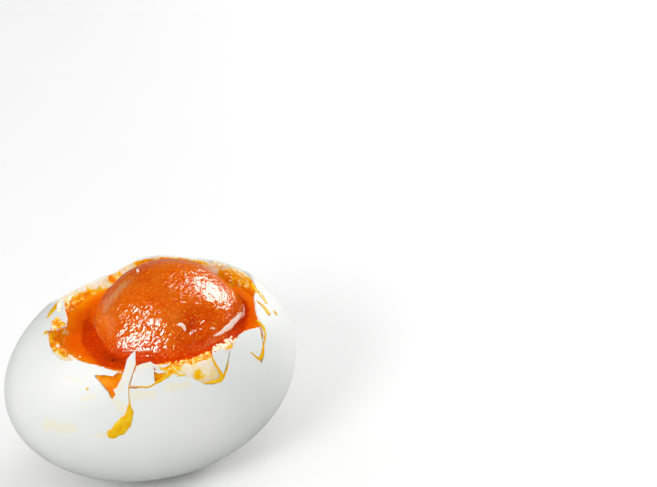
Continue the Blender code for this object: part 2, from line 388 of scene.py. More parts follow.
def makeStudio():
    print("studio")
    aim = Vector((0, 0, eggLift)) * mm
    back = towards(studio["cameraAround"], studio["cameraAbove"])
    forward = -towards(studio["aimYaw"], -studio["aimPitch"])
    bpy.ops.object.camera_add(location=aim + back * studio["cameraAway"] * mm)
    camera = bpy.context.active_object
    camera.name = "camera"
    camera.rotation_euler = forward.to_track_quat("-Z", "Y").to_euler()
    camera.data.lens = studio["lens"]
    camera.data.sensor_width = 36.0
    camera.data.clip_start = 0.01
    bpy.context.scene.camera = camera

    bpy.ops.mesh.primitive_plane_add(size=studio["floorSize"])
    floor = named("floor")
    floorPaint = Paint("paleFloor", Roughness=0.7, Specular_IOR_Level=0.2)
    tone = floorPaint.clouds(60.0, 2.0)
    floorColour = floorPaint.blend((0.88, 0.88, 0.88, 1), (0.90, 0.90, 0.90, 1), tone)
    floor.data.materials.append(floorPaint.finish(Base_Color=floorColour))
    floor.visible_glossy = False

    for name, (heading, height, away, wide, tall, power, mirrored, lighting) in studio["softboxes"].items():
        toLight = towards(math.radians(heading), math.radians(height))
        bpy.ops.object.light_add(type="AREA", location=aim + toLight * away)
        light = bpy.context.active_object
        light.name = name
        light.rotation_euler = (-toLight).to_track_quat("-Z", "Y").to_euler()
        light.data.shape = "RECTANGLE"
        light.data.size = wide
        light.data.size_y = tall
        light.data.energy = power
        light.visible_glossy = mirrored
        light.visible_diffuse = lighting
        if mirrored:
            light.data.color = studio["mirroredColour"]

    world = bpy.data.worlds.new("paleStudio")
    world.use_nodes = True
    sky = world.node_tree.nodes["Background"]
    sky.inputs["Color"].default_value = (1.0, 1.0, 1.0, 1.0)
    sky.inputs["Strength"].default_value = studio["skyStrength"]
    world.cycles_visibility.glossy = False  # wet surfaces mirror only the softboxes
    bpy.context.scene.world = world
    view = bpy.context.scene.view_settings
    view.view_transform = "Standard"
    view.look = "None"


shellForm = {
    "lengthSteps": 84,
    "girthSteps": 168,
    "flakeLengthSteps": 60,
    "flakeGirthSteps": 120,
    "raggedStep": 0.55,  # millimetres between the small snags of a broken edge
    "raggedDepth": 0.09,
    "sharpAngle": 40,  # degrees past which an edge stays sharp
    "cutBetween": (3.0, 30.0),  # the heights of the cutter for the break
    # the break, seen from above: along the egg and across it
    "rim": (
        (21.3, -3.5), (22.2, 0.5), (22.7, 4.0), (22.6, 6.6), (20.6, 8.4), (18.6, 10.2), (17.2, 11.7),
        (14.6, 13.7), (11.2, 14.3), (8.3, 13.5), (5.4, 12.7), (3.9, 13.0), (2.9, 14.3), (2.0, 16.5),
        (0.4, 17.7), (-1.8, 18.1), (-4.0, 17.9), (-6.4, 18.1), (-9.0, 18.1), (-11.4, 17.4),
        (-13.4, 16.2), (-15.2, 13.2), (-16.6, 10.0), (-15.9, 8.0), (-15.0, 6.2), (-15.9, 2.4),
        (-16.2, -0.3), (-16.9, -1.9), (-18.5, -1.3), (-20.1, 0.4), (-20.5, -1.3), (-20.8, -3.1),
        (-20.6, -4.9), (-19.8, -7.3), (-18.6, -8.5), (-17.4, -9.1), (-16.0, -10.7), (-14.4, -11.9),
        (-12.9, -13.3), (-10.9, -14.7), (-11.9, -14.8), (-13.4, -13.9), (-15.1, -13.1), (-14.0, -15.1),
        (-13.0, -16.8), (-12.5, -17.75), (-11.6, -18.6), (-10.5, -19.15), (-10.25, -19.05),
        (-10.0, -18.1), (-9.62, -17.15), (-6.3, -18.2), (-4.9, -18.2), (-2.8, -18.2), (-1.0, -18.1),
        (0.9, -18.6), (2.6, -19.1), (4.4, -19.7), (6.2, -19.7), (8.0, -19.35), (9.3, -18.4),
        (10.9, -16.5), (12.0, -15.5), (13.8, -13.9), (15.7, -13.0), (18.5, -11.9), (18.2, -14.0),
        (17.8, -15.4), (16.3, -16.2), (17.1, -16.5), (18.0, -15.5), (18.5, -14.0), (19.2, -12.7),
        (19.2, -11.3), (19.1, -9.4), (20.1, -5.8),
    ),
    # loose pieces: corners and how far raised
    "flakes": {
        "flake_front": (
            ((-7.5, -15.35), (-6.5, -15.4), (-4.8, -15.6), (-4.35, -16.0), (-4.9, -18.08), (-6.3, -18.1),
             (-9.55, -17.02)), 0.12),
        "flake_spike": (
            ((-6.9, -13.35), (-7.45, -14.9), (-7.75, -15.3), (-9.75, -16.95), (-10.15, -18.0), (-10.55, -18.9),
             (-11.75, -18.75), (-12.65, -17.8), (-13.1, -16.9), (-12.2, -16.7), (-12.4, -16.1), (-11.7, -16.2),
             (-10.6, -15.7), (-9.6, -14.9), (-8.7, -13.9), (-7.7, -13.5)), 0.12),
        "flake_wedge": (
            ((7.15, -16.6), (7.25, -17.5), (7.75, -18.5), (8.1, -19.0), (9.1, -18.15), (10.55, -16.4),
             (9.2, -16.1)), 0.06),
    },
}


def spunEgg(name, lengthSteps, girthSteps, inset=0.0):
    # half a circle drawn out to the egg's profile, spun round the egg's length, tilted and flattened at its foot
    bpy.ops.mesh.primitive_circle_add(vertices=2 * lengthSteps, radius=1.0)
    obj = named(name)
    selectVerts(obj, verts(obj)[:, 1] < -1e-4)
    bpy.ops.object.mode_set(mode="EDIT")
    bpy.ops.mesh.delete(type="VERT")
    bpy.ops.object.mode_set(mode="OBJECT")
    circle = verts(obj)
    along = circle[:, 0] * (eggForm["halfLength"] - inset)
    profile = np.column_stack([along, np.zeros(len(along)), girthRadius(along, inset)]) * mm
    obj.data.vertices.foreach_set("co", profile.ravel())
    inEditMode(
        lambda: bpy.ops.mesh.spin(steps=girthSteps, angle=2 * math.pi, center=(0, 0, 0), axis=(1, 0, 0)),
        lambda: bpy.ops.mesh.remove_doubles(threshold=0.002 * mm),
    )
    turned = Matrix.Rotation(-eggForm["restTilt"], 4, "Y")
    obj.data.transform(Matrix.Translation((0, 0, eggLift * mm)) @ turned)
    inEditMode(facesOut)
    points = verts(obj)
    points[:, 2] = np.maximum(points[:, 2], inset * mm)  # the flat foot
    obj.data.vertices.foreach_set("co", points.ravel())
    obj.data.update()
    return obj


def ragged(corners, step, depth, seed):
    # an outline with small snags between its corners
    points = []
    for i, (start, end) in enumerate(zip(corners, corners[1:] + corners[:1])):
        start, end = Vector(start), Vector(end)
        side = (end - start).orthogonal().normalized()
        count = max(1, round((end - start).length / step))
        for j in range(count):
            snag = 0.0 if j == 0 else noise.noise(Vector((seed, i * 3.7 + j * 0.83, 0))) * 2 * depth
            points.append(start.lerp(end, j / count) + side * snag)
    return np.array([tuple(p) for p in points])


def breakCutter(name, outline):
    # a cone from the egg's centre through the outline, cut off flat below and above
    bpy.ops.mesh.primitive_circle_add(vertices=len(outline), radius=1.0, fill_type="NGON")
    obj = named(name)
    low, high = shellForm["cutBetween"]
    scale = low / heightOnEgg(outline[:, 0], outline[:, 1])
    setVerts(obj, np.column_stack([outline * scale[:, None], np.full(len(outline), low)]))

    def drawOut():
        bpy.ops.mesh.extrude_region_move()
        bpy.ops.transform.resize(value=(high / low,) * 3, center_override=(0, 0, eggLift * mm))

    inEditMode(drawOut, facesOut)
    return obj


def cutWith(obj, cutter, operation):
    applied(obj, "BOOLEAN", operation=operation, solver="EXACT", object=cutter)
    bpy.data.objects.remove(cutter, do_unlink=True)


def shellSkin(name, lengthSteps, girthSteps):
    obj = spunEgg(name, lengthSteps, girthSteps)
    applied(obj, "SOLIDIFY", thickness=eggForm["shellThickness"] * mm, offset=-1.0, use_even_offset=True)
    return obj


def makeShell(material):
    print("shell")
    shell = shellSkin("eggshell", shellForm["lengthSteps"], shellForm["girthSteps"])
    outline = ragged(shellForm["rim"], shellForm["raggedStep"], shellForm["raggedDepth"], 1.0)
    cutWith(shell, breakCutter("shellBreak", outline), "DIFFERENCE")
    smoothByAngle(shell, shellForm["sharpAngle"])
    finishPiece(shell, material, "shell")
    return shell


def makeFlakes(material):
    print("loose flakes of shell")
    for i, (node, (corners, raised)) in enumerate(shellForm["flakes"].items()):
        flake = shellSkin(node.replace("_", "") + "Shell", shellForm["flakeLengthSteps"], shellForm["flakeGirthSteps"])
        outline = ragged(corners, shellForm["raggedStep"], shellForm["raggedDepth"] * 0.7, 5.0 + i)
        cutWith(flake, breakCutter("flakeOutline", outline), "INTERSECT")
        middle = Vector(verts(flake).mean(axis=0))
        out = (middle - Vector((0, 0, eggLift * mm))).normalized() * raised * mm
        flake.data.transform(Matrix.Translation(out))
        smoothByAngle(flake, shellForm["sharpAngle"])
        finishPiece(flake, material, node)


# Stations round the opening, about its middle: degrees from +X, then millimetres
poolEdge = (
    (0, 19.6), (10, 19.4), (19, 18.4), (30, 16.8), (42, 15.0), (55, 13.6), (75, 12.4), (90, 12.6),
    (100, 13.8), (110, 15.0), (122, 15.8), (135, 16.6), (148, 17.6), (160, 17.4), (168, 17.8),
    (176, 19.2), (184, 19.8), (192, 19.0), (205, 18.0), (216, 17.6), (224, 16.6), (234, 14.8),
    (244, 14.0), (260, 14.4), (275, 14.6), (294, 14.5), (312, 16.0), (319, 17.2), (328, 19.4),
    (340, 19.8), (350, 19.8),
)
whiteCrest = (
    (0, 20.2, 14.0), (12, 20.0, 13.9), (24, 19.2, 14.3), (31, 18.6, 14.2), (38, 18.2, 13.9),
    (47, 17.4, 14.2), (57, 15.6, 15.6), (68, 13.3, 17.2), (80, 12.6, 17.5), (88, 13.2, 17.2),
    (95, 15.4, 15.4), (100, 17.4, 12.6), (105, 17.6, 12.0), (116, 17.9, 12.0), (125, 18.1, 12.0), (133, 18.4, 12.0),
    (141, 19.0, 12.2), (150, 18.9, 13.6), (159, 18.4, 15.4), (168, 18.4, 15.8), (175, 20.0, 14.9),
    (182, 21.6, 14.5), (190, 21.8, 13.9), (199, 21.4, 13.4), (208, 20.8, 13.2), (216, 19.9, 13.0),
    (222, 19.0, 12.2), (229, 18.3, 11.8), (237, 17.1, 12.6), (249, 16.4, 13.0), (262, 16.6, 12.7),
    (275, 16.8, 12.5), (287, 16.8, 12.3), (300, 17.2, 12.3), (311, 17.9, 13.0), (318, 18.7, 12.9),
    (326, 20.0, 12.5), (334, 20.4, 12.8), (342, 20.4, 13.5), (351, 20.3, 14.1),
)
oilLevel = 11.0
yolkForm = {
    "centre": np.array((4.4, 1.2, 6.4)),
    "radii": np.array((15.2, 14.3, 15.1)),
    "segments": 400,
    "rings": 200,
    # hollows: direction from the centre, how wide, how deep; below 0 it is a bulge
    "hollows": (
        ((0.14, -0.77, 0.62), 5.0, 1.5),
        ((0.30, -0.86, 0.30), 5.0, 0.35),
        ((-0.55, -0.45, 0.70), 6.0, 0.30),
        ((0.75, 0.10, 0.65), 5.0, 0.35),
        ((0.96, -0.2, 0.2), 11.0, -0.7),
        ((-0.87, -0.42, 0.25), 7.5, -1.2),
    ),
    "lumps": ((7.0, 0.30), (2.6, 0.12), (1.1, 0.075), (0.6, 0.04)),  # size and depth
    # raised folds: points on the yolk, how wide, how high
    "folds": (
        (((16.6, -2.4, 11.6), (15.9, -4.9, 11.7), (14.4, -7.6, 11.9), (12.4, -9.6, 11.9), (10.0, -11.2, 11.8)),
         0.9, 0.42),
        (((2.4, -9.6, 16.6), (3.2, -9.9, 16.2), (3.9, -10.3, 15.4), (3.8, -10.6, 14.7)), 0.7, 0.40),
        (((5.4, -9.4, 16.3), (6.9, -8.9, 16.6), (8.4, -8.8, 15.8), (9.2, -9.3, 14.4)), 1.3, 0.35),
        (((-6.6, -7.2, 12.0), (-4.4, -9.1, 12.2), (-2.2, -10.3, 12.2)), 0.7, 0.30),
        (((-9.6, 2.0, 13.0), (-8.3, 5.8, 14.0), (-5.6, 8.0, 16.0)), 1.3, 0.30),
    ),
    # where the yolk is a deep red orange, partly its own mottling and partly painted shade in its dimple and along its
    # foot at the oil; and where it is pale: direction, how wide, how strong
    "deepPatches": (
        ((0.13, -0.75, 0.65), 6.0, 0.9), ((0.13, -0.93, 0.33), 8.0, 0.8), ((-0.3, -0.92, 0.25), 7.0, 0.8),
        ((0.55, -0.80, 0.25), 7.0, 0.8), ((-0.05, -0.26, 0.96), 4.0, 0.3), ((-0.91, -0.27, 0.30), 4.0, 0.9),
        ((-0.86, -0.43, 0.28), 4.6, 1.0), ((-0.78, -0.57, 0.26), 4.8, 1.0), ((-0.66, -0.69, 0.28), 5.0, 1.0),
        ((-0.5, -0.8, 0.24), 5.0, 1.0), ((-0.1, -0.95, 0.3), 7.0, 0.9), ((-0.28, 0.0, 0.96), 4.5, 0.45),
    ),
    # where its wrinkles are weaker
    "calmPatches": (
        ((0.52, -0.37, 0.77), 8.0, 0.5), ((-0.35, -0.62, 0.70), 5.0, 0.15), ((-0.9, -0.06, 0.45), 8.0, 0.85),
        ((-0.9, -0.35, 0.25), 7.0, 0.8), ((0.13, -0.93, 0.33), 6.0, 0.5), ((-0.45, 0.3, 0.84), 7.0, 0.6),
        ((0.3, 0.4, 0.86), 9.0, 0.7),
    ),
    # a painted reflection along its upper left edge, and a painted highlight line along its lower left at the oil:
    # points, how far it spreads, how strong
    "paintedSheens": (
        (((-3.6, 3.6, 19.0), (-5.9, 3.0, 17.4), (-7.9, 2.4, 15.6)), 1.1, 1.0),
        (((-9.6, 5.2, 11.8), (-10.6, 2.4, 11.4), (-10.9, -0.6, 11.2)), 0.7, 0.8),
    ),
    "palePatches": (
        ((-0.85, -0.06, 0.52), 7.0, 0.6), ((-0.97, -0.02, 0.25), 5.0, 0.8), ((-0.51, 0.13, 0.85), 6.0, 0.7),
        ((0.06, 0.2, 0.98), 5.0, 0.5), ((-0.15, -0.68, 0.71), 4.0, 0.5), ((-0.08, -0.33, 0.94), 3.0, 0.5),
        ((0.45, 0.3, 0.84), 8.0, 0.8), ((0.9, -0.1, 0.4), 8.0, 0.5), ((-0.25, -0.85, 0.46), 3.0, 0.5),
    ),
}


def stationed(table, turn, column=0):
    # a column of a table of stations at each heading, eased between stations
    degrees = np.degrees(turn) % 360
    marks = np.array([row[0] for row in table] + [360.0 + table[0][0]])
    values = np.array([row[column + 1] for row in table] + [table[0][column + 1]])
    i = np.clip(np.searchsorted(marks, degrees, side="right") - 1, 0, len(marks) - 2)
    share = (degrees - marks[i]) / (marks[i + 1] - marks[i])
    share = share * share * (3 - 2 * share)
    return values[i] + (values[i + 1] - values[i]) * share


def yolkReach(turn, level):
    # from the opening's middle to the yolk's outline at a level
    centre, radii = yolkForm["centre"], yolkForm["radii"]
    squash = np.sqrt(np.clip(1 - ((level - centre[2]) / radii[2]) ** 2, 0.01, None))
    rx, ry = radii[0] * squash, radii[1] * squash
    px, py = (eggForm["openingX"] - centre[0]) / rx, -centre[1] / ry
    dx, dy = np.cos(turn) / rx, np.sin(turn) / ry
    dot, dd = px * dx + py * dy, dx**2 + dy**2
    return (np.sqrt(np.clip(dot**2 - dd * (px**2 + py**2 - 1), 0, None)) - dot) / dd


def ballGrid(name, segments, rings):
    # a ball whose rings and segments are then laid along a piece's own form
    bpy.ops.mesh.primitive_uv_sphere_add(segments=segments, ring_count=rings, radius=1.0)
    obj = named(name)
    unit = verts(obj)
    ring = np.rint(np.arccos(np.clip(unit[:, 2], -1, 1)) / math.pi * rings).astype(int)
    turn = np.arctan2(unit[:, 1], unit[:, 0])
    return obj, unit, ring, turn


def awayFromPath(points, path):
    # the distance from each point to a path through a few places
    away = np.full(len(points), 1e3)
    for start, end in zip(np.array(path[:-1]), np.array(path[1:])):
        share = np.clip((points - start) @ (end - start) / ((end - start) @ (end - start)), 0, 1)
        nearest = start + share[:, None] * (end - start)
        away = np.minimum(away, np.linalg.norm(points - nearest, axis=1))
    return away


def fading(away, reach):
    return np.exp(-((away / reach) ** 2))


def dab(unit, direction, wide):
    # 1 at a direction from the yolk's centre, fading around it
    direction = np.array(direction) / np.linalg.norm(direction)
    return fading(np.linalg.norm(unit - direction, axis=1) * yolkForm["radii"][2], wide / 2)


def patchMask(unit, patches):
    mask = np.zeros(len(unit))
    for direction, wide, strong in patches:
        mask = np.maximum(mask, strong * dab(unit, direction, wide))
    return mask


def makeYolk(material):
    print("yolk")
    obj, unit, _, _ = ballGrid("yolkBall", yolkForm["segments"], yolkForm["rings"])
    around = unit * yolkForm["radii"][2]
    depth = np.zeros(len(unit))
    for direction, wide, deep in yolkForm["hollows"]:
        depth += deep * dab(unit, direction, wide)
    for i, (size, deep) in enumerate(yolkForm["lumps"]):
        depth -= deep * 0.5 * grain(around, size, 2, shift=11.0 * i)
    plain = yolkForm["centre"] + unit * yolkForm["radii"]
    for path, wide, high in yolkForm["folds"]:
        onYolk = np.array(path) - yolkForm["centre"]
        onYolk *= (yolkForm["radii"][2] / np.linalg.norm(onYolk, axis=1))[:, None]
        away = awayFromPath(plain, onYolk + yolkForm["centre"]) + grain(around, 1.4, 2, shift=2.0) * 0.22
        depth -= high * fading(away, wide / 2)
    points = yolkForm["centre"] + unit * (yolkForm["radii"] - depth[:, None])
    setVerts(obj, points)
    for key in ("deep", "pale", "calm"):
        setAttribute(obj, key, patchMask(unit, yolkForm[key + "Patches"]))
    paintedSheens = [fading(awayFromPath(points, path), reach) * strong for path, reach, strong in yolkForm["paintedSheens"]]
    setAttribute(obj, "paintedSheen", np.max(paintedSheens, axis=0))
    finishSmooth(obj, material, "yolk")
    return obj


whiteForm = {
    "inset": 0.44,  # the white lies this far inside the shell's outside
    "segments": 640,
    "seatRings": 8,
    "moatRings": 8,
    "slopeRings": 46,
    "outerRings": 20,
    "hullRings": 14,
    "moatFloor": 3.0,
    "seatBottom": -7.6,
    "seatGap": 0.04,  # between the white and the yolk
    "poolLap": 0.4,  # how far the white reaches in under the oil's edge
    "underOil": 0.6,
    "hullTop": 3.0,
    "crestFall": 0.06,
    "crumbs": ((3.0, 0.30), (1.2, 0.16), (0.5, 0.07)),  # size and depth
    "lumpSizes": (2.3, 1.2),
    "lumpHeight": 0.36,
}


def whiteRings(turn):
    # the radius and height of every ring at each heading, from under the yolk out over the crest to the foot
    form = whiteForm
    edge = stationed(poolEdge, turn)
    crestOut, crestUp = stationed(whiteCrest, turn, 0), stationed(whiteCrest, turn, 1)
    poolIn = edge - form["poolLap"]

    def seat(z):
        return yolkReach(turn, z) + form["seatGap"]

    rings = [(np.zeros_like(turn), np.full_like(turn, form["seatBottom"]))]
    for z in np.linspace(form["seatBottom"] + 0.2, form["moatFloor"], form["seatRings"]):
        rings.append((seat(z), np.full_like(turn, z)))
    low = seat(form["moatFloor"])
    under = oilLevel - form["underOil"]
    for share in np.linspace(0, 1, form["moatRings"] + 1)[1:]:
        z = form["moatFloor"] + (under - form["moatFloor"]) * share
        out = np.maximum(low + (poolIn - low) * share, seat(z))
        rings.append((out, np.full_like(turn, z)))
    for share in np.linspace(0, 1, form["slopeRings"] + 1)[1:]:
        z = under + (crestUp - under) * (0.45 * share + 0.55 * share**1.6)
        rings.append((np.maximum(poolIn + (crestOut - poolIn) * share, seat(z)), z))
    crestOut, crestUp = rings[-1]
    limit = reachInEgg(turn, form["hullTop"], form["inset"])
    for share in np.linspace(0, 1, form["outerRings"] + 1)[1:]:
        out = crestOut + (limit - crestOut) * share**1.15
        x, y = eggForm["openingX"] + out * np.cos(turn), out * np.sin(turn)
        z = np.minimum(heightOnEgg(x, y, form["inset"]), crestUp - (out - crestOut) * form["crestFall"])
        rings.append((out, z))
    bottom = -(eggLift - form["inset"])
    for z in np.linspace(form["hullTop"], bottom + 0.4, form["hullRings"] + 1)[1:]:
        rings.append((reachInEgg(turn, z, form["inset"]), np.full_like(turn, z)))
    rings.append((np.zeros_like(turn), np.full_like(turn, bottom)))
    return rings


def makeWhite(material):
    print("set white")
    form = whiteForm
    count = form["seatRings"] + form["moatRings"] + form["slopeRings"] + form["outerRings"] + form["hullRings"] + 1
    obj, _, ring, turn = ballGrid("setWhite", form["segments"], count)
    points = np.zeros((len(ring), 3))
    headings, back = np.unique(np.round(turn, 5), return_inverse=True)
    table = whiteRings(headings)
    for k, (out, up) in enumerate(table):
        here = ring == k
        at = back[here]
        points[here, 0] = eggForm["openingX"] + out[at] * np.cos(turn[here])
        points[here, 1] = out[at] * np.sin(turn[here])
        points[here, 2] = up[at]
    firstSlope = form["seatRings"] + form["moatRings"]
    crestRing = firstSlope + form["slopeRings"]
    slope = np.clip((ring - firstSlope) / form["slopeRings"], 0, 1)
    outside = np.clip((ring - crestRing) / form["outerRings"], 0, 1)
    torn = np.clip((ring - firstSlope + 5) / 6, 0, 1) * np.clip(1 - outside * 2.2, 0, 1)
    relief, lumps = np.zeros(len(ring)), np.zeros(len(ring))
    visible = torn > 0
    for i, (size, deep) in enumerate(form["crumbs"]):
        relief[visible] += deep * grain(points[visible], size, 3, shift=7.0 * i)
    large, small = [lumpsAt(points[visible], size) for size in form["lumpSizes"]]
    lumps[visible] = large * (0.55 + 0.45 * small)
    lift = (relief + (np.sqrt(lumps) - 0.6) * form["lumpHeight"]) * torn
    ceiling = heightOnEgg(points[:, 0], points[:, 1], form["inset"])
    top = ring > firstSlope
    heading = np.column_stack([np.cos(turn), np.sin(turn)])
    points[:, :2] -= heading * (lift * 0.5)[:, None] * (1 - outside)[:, None]
    points[:, 2] += lift * 0.8
    upper = top & (ring <= crestRing + form["outerRings"])
    points[upper, 2] = np.minimum(points[upper, 2], ceiling[upper])
    setVerts(obj, points)
    blotches = grain(points / (1, 1, 0.6), 2.2, 4, shift=3.0)
    setAttribute(obj, "bare", whiteBareness(turn, slope, outside, lumps, relief + blotches * 0.5))
    finishSmooth(obj, material, "egg_white")
    return obj


# Where the white shows through the oil: degrees round the opening, how bare low on the slope, high on it, outside it
barePatches = (
    (0, 0.15, 0.34, 0.6), (8, 0.22, 0.60, 0.8), (14, 0.28, 0.80, 0.9), (20, 0.32, 0.70, 0.9), (26, 0.32, 0.85, 0.9),
    (34, 0.30, 0.70, 0.9), (46, 0.15, 0.50, 0.9), (60, 0.05, 0.40, 0.9), (85, 0.05, 0.45, 0.9),
    (93, 0.10, 0.80, 1.0), (101, 0.15, 0.90, 1.0), (104, 0.05, 0.20, 0.7), (107, 0.35, 0.90, 1.0),
    (113, 0.40, 0.95, 1.0), (118, 0.35, 0.90, 1.0), (123, 0.15, 0.55, 0.8), (129, 0.20, 0.60, 0.8),
    (133, 0.20, 0.50, 0.8), (140, 0.20, 0.42, 0.8), (150, 0.20, 0.45, 0.8), (156, 0.20, 0.70, 0.9),
    (168, 0.20, 0.80, 0.9), (174, 0.22, 0.38, 0.5), (180, 0.18, 0.30, 0.4), (186, 0.20, 0.32, 0.4),
    (191, 0.20, 0.40, 0.5), (196, 0.28, 0.75, 0.9), (206, 0.30, 0.75, 0.9), (214, 0.20, 0.55, 0.7),
    (219, 0.15, 0.45, 0.4), (225, 0.15, 0.22, 0.20), (230, 0.12, 0.18, 0.30), (234, 0.12, 0.16, 0.30),
    (240, 0.15, 0.35, 0.25), (250, 0.25, 0.40, 0.3), (257, 0.20, 0.35, 0.50), (264, 0.15, 0.35, 0.75),
    (278, 0.15, 0.37, 0.76), (290, 0.20, 0.43, 0.82), (298, 0.30, 0.50, 0.75), (306, 0.35, 0.45, 0.6),
    (314, 0.15, 0.25, 0.4), (326, 0.05, 0.20, 0.4), (345, 0.05, 0.15, 0.5),
)


def lumpsAt(points, size):
    # 0 in the creases between rounded lumps of about a size, towards 1 on top of them
    found = np.zeros(len(points))
    for i, point in enumerate(points / size):
        point = Vector(point)
        near = noise.voronoi(point + noise.noise_vector(point * 1.3) * 0.45)[0]
        found[i] = near[1] - near[0]
    return np.clip(found * 1.7, 0, 1)


def whiteBareness(turn, slope, outside, lumps, relief):
    low, high = stationed(barePatches, turn, 0), stationed(barePatches, turn, 1)
    beyond = stationed(barePatches, turn, 2)
    bare = low + (high - low) * np.clip(slope * 1.3 - 0.3, 0, 1)
    share = np.clip(outside * 6, 0, 1)
    bare = bare * (1 - share) + beyond * share
    creased = np.clip(1.25 - np.abs(bare - 0.5) * 1.2, 0.25, 1)  # clean white and deep oil hide the lumps
    return np.clip(bare + ((lumps - 0.35) * 0.55 + relief * 0.6) * creased, 0, 1)


oilForm = {
    "segments": 480,
    "across": 40,
    "yolkMeniscus": 0.22,
    "yolkMeniscusReach": 0.4,
    "edgeMeniscus": 0.1,
    "edgeMeniscusReach": 0.5,
    "depth": 1.6,
    "yolkLap": 0.35,  # how far the oil reaches in under the yolk, and into the white
    "edgeLap": 0.25,
    # where the oil is darkened: dark grains of yolk lie in it, with painted shade in a ring along the yolk's foot:
    # place, how far they spread, how many
    "siltAndShade": (
        (-8.2, 9.8, 1.1, 0.4), (-9.6, 7.8, 1.3, 0.5), (-10.6, 5.6, 1.5, 0.65),
        (-11.2, 3.4, 1.8, 0.8), (-11.2, 1.0, 2.4, 1.0), (-11.4, -1.8, 2.6, 1.15), (-11.0, -4.6, 2.8, 1.3),
        (-10.2, -7.2, 2.6, 1.5), (-8.0, -9.6, 2.6, 1.5), (-5.0, -11.4, 2.4, 1.2),
        (-2.4, -12.2, 2.2, 1.0), (0.6, -12.8, 2.0, 1.0), (3.8, -13.0, 2.0, 1.0), (7.0, -12.9, 2.0, 1.0),
        (10.0, -12.0, 2.0, 1.0), (12.6, -10.8, 1.9, 1.0), (14.8, -9.2, 1.7, 1.0), (16.3, -7.3, 1.5, 1.0),
        (17.6, -5.2, 1.3, 1.0), (18.6, -3.2, 1.3, 1.0), (19.2, -1.0, 1.2, 0.9), (19.3, 1.4, 1.0, 0.7),
    ),
    "darkSpots": ((-9.8, -8.1, 0.5, 3.4), (-9.0, -8.6, 0.7, 1.9)),
}


def makeOil(material):
    print("yolk oil")
    form = oilForm
    bpy.ops.mesh.primitive_torus_add(
        major_segments=form["segments"], minor_segments=form["across"], major_radius=2.0, minor_radius=0.5
    )
    obj = named("yolkOil")
    ring = verts(obj)
    turn = np.arctan2(ring[:, 1], ring[:, 0])
    out = np.hypot(ring[:, 0], ring[:, 1]) - 2.0
    across = np.arctan2(ring[:, 2], out)  # 0 at the outer edge, pi at the yolk
    inner = yolkReach(turn, oilLevel) - form["yolkLap"]
    outer = np.maximum(stationed(poolEdge, turn) + form["edgeLap"], inner + 0.5)
    share = 0.5 + 0.5 * np.cos(across)
    radius = inner + (outer - inner) * share
    yolkLine, edgeLine = inner + form["yolkLap"], outer - form["edgeLap"]
    rise = form["yolkMeniscus"] * np.exp(-np.clip(radius - yolkLine, 0, None) / form["yolkMeniscusReach"])
    rise += form["edgeMeniscus"] * np.exp(-np.clip(edgeLine - radius, 0, None) / form["edgeMeniscusReach"])
    top = across >= 0
    bulge = np.abs(np.sin(across))
    z = np.where(top, oilLevel + rise - 0.1 * (1 - np.clip(bulge * 6, 0, 1)), oilLevel - form["depth"] * bulge ** 0.5)
    centre = eggForm["openingX"]
    points = np.column_stack([centre + radius * np.cos(turn), radius * np.sin(turn), z])
    ripple = grain(points, 3.0, 2) * 0.05 + grain(points, 1.0, 2, shift=5) * 0.012
    points[:, 2] += np.where(top, ripple, 0)
    setVerts(obj, points)
    depthOfOil = np.clip((edgeLine - radius) / 2.0, 0, 1)
    siltAndShade = np.zeros(len(points))
    marks = np.array(form["siltAndShade"])
    steps = np.arange(0, len(marks) - 0.99, 0.25)
    trail = np.column_stack([np.interp(steps, np.arange(len(marks)), marks[:, k]) for k in range(4)])
    for x, y, spread, many in np.vstack([trail, form["darkSpots"]]):
        away = np.hypot(points[:, 0] - x, points[:, 1] - y)
        siltAndShade = np.maximum(siltAndShade, many * fading(away, spread))
    # painted shade: the oil darker in a narrow band where it meets the yolk
    siltAndShade = np.maximum(siltAndShade, 0.45 * np.clip(1 - (radius - yolkLine) / 0.8, 0, 1))
    setAttribute(obj, "oilDepth", depthOfOil)
    setAttribute(obj, "siltAndShade", siltAndShade)
    finishSmooth(obj, material, "oil")
    return obj


